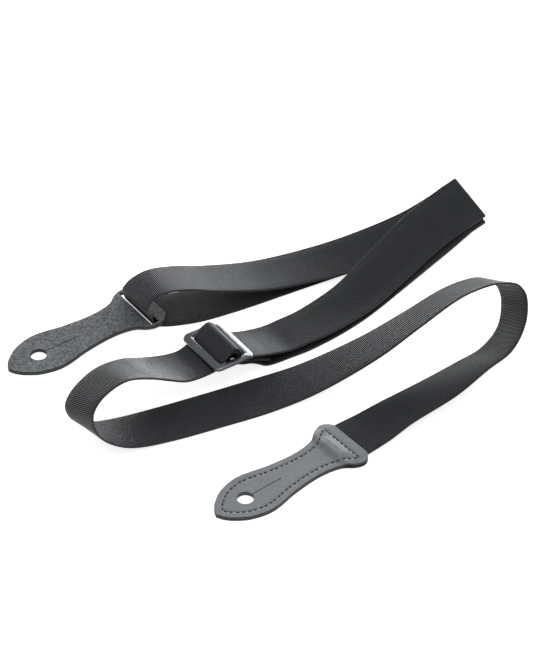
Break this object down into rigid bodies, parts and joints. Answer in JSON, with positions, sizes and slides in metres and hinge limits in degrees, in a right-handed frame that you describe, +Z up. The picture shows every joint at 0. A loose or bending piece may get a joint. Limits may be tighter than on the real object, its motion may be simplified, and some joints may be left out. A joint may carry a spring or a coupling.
{
  "type": "guitar strap",
  "caption": "Webbing guitar strap folded flat, with a sewn leather tab, a leather loop tab threaded on the webbing, and a tri-glide slider that sets the length.",
  "frame": {"origin": "the middle of the folded strap's plan, on the surface it lies on", "axes": "+X along the folded strap towards the folds that hold no tab, +Y from the sewn tab towards the loop tab, +Z up"},
  "size_m": [0.3276, 0.2159, 0.0453],
  "materials": {
    "webbing": "ribbed black polyester webbing with a slight sheen",
    "tab_leather": "smooth cool grey with dark cut edges",
    "suede_leather": "dark grey suede",
    "thread": "black waxed thread",
    "slider_metal": "polished dark nickel"
  },
  "bodies": {
    "webbing": {"webbing_tab_run": "webbing", "webbing_right_loop": "webbing", "webbing_return_run": "webbing", "webbing_left_loop": "webbing", "webbing_rise": "webbing", "webbing_slider_run": "webbing", "webbing_front_upper": "webbing", "webbing_fold_upper": "webbing", "webbing_back_upper": "webbing", "webbing_slot_bend": "webbing", "webbing_back_lower": "webbing", "webbing_fold_lower": "webbing", "webbing_front_lower": "webbing"},
    "sewn_tab": {"sewn_tab_back": "tab_leather", "sewn_tab_front": "tab_leather", "webbing_tab_end": "webbing", "stitches_back": "thread", "stitches_front": "thread"},
    "loop_tab": {"loop_tab": "suede_leather"},
    "slider": {"slider": "slider_metal", "webbing_tail": "webbing", "tail_stitches": "thread"}
  },
  "joints": [
    {"name": "sewn_tab_flex", "type": "hinge", "parent": "webbing", "child": "sewn_tab", "pos_m": [-0.03336, -0.08708, 0.00215], "axis": [-0.0349, 0.9994, 0], "range_deg": [0, 40]},
    {"name": "loop_tab_swing", "type": "hinge", "parent": "webbing", "child": "loop_tab", "pos_m": [-0.05515, 0.08707, 0.00224], "axis": [0.0227, 0.9997, 0], "range_deg": [0, 6]},
    {"name": "slider_slide", "type": "slide", "parent": "webbing", "child": "slider", "axis": [0.998, -0.0628, 0], "range_m": [-0.009, 0.003]}
  ]
}
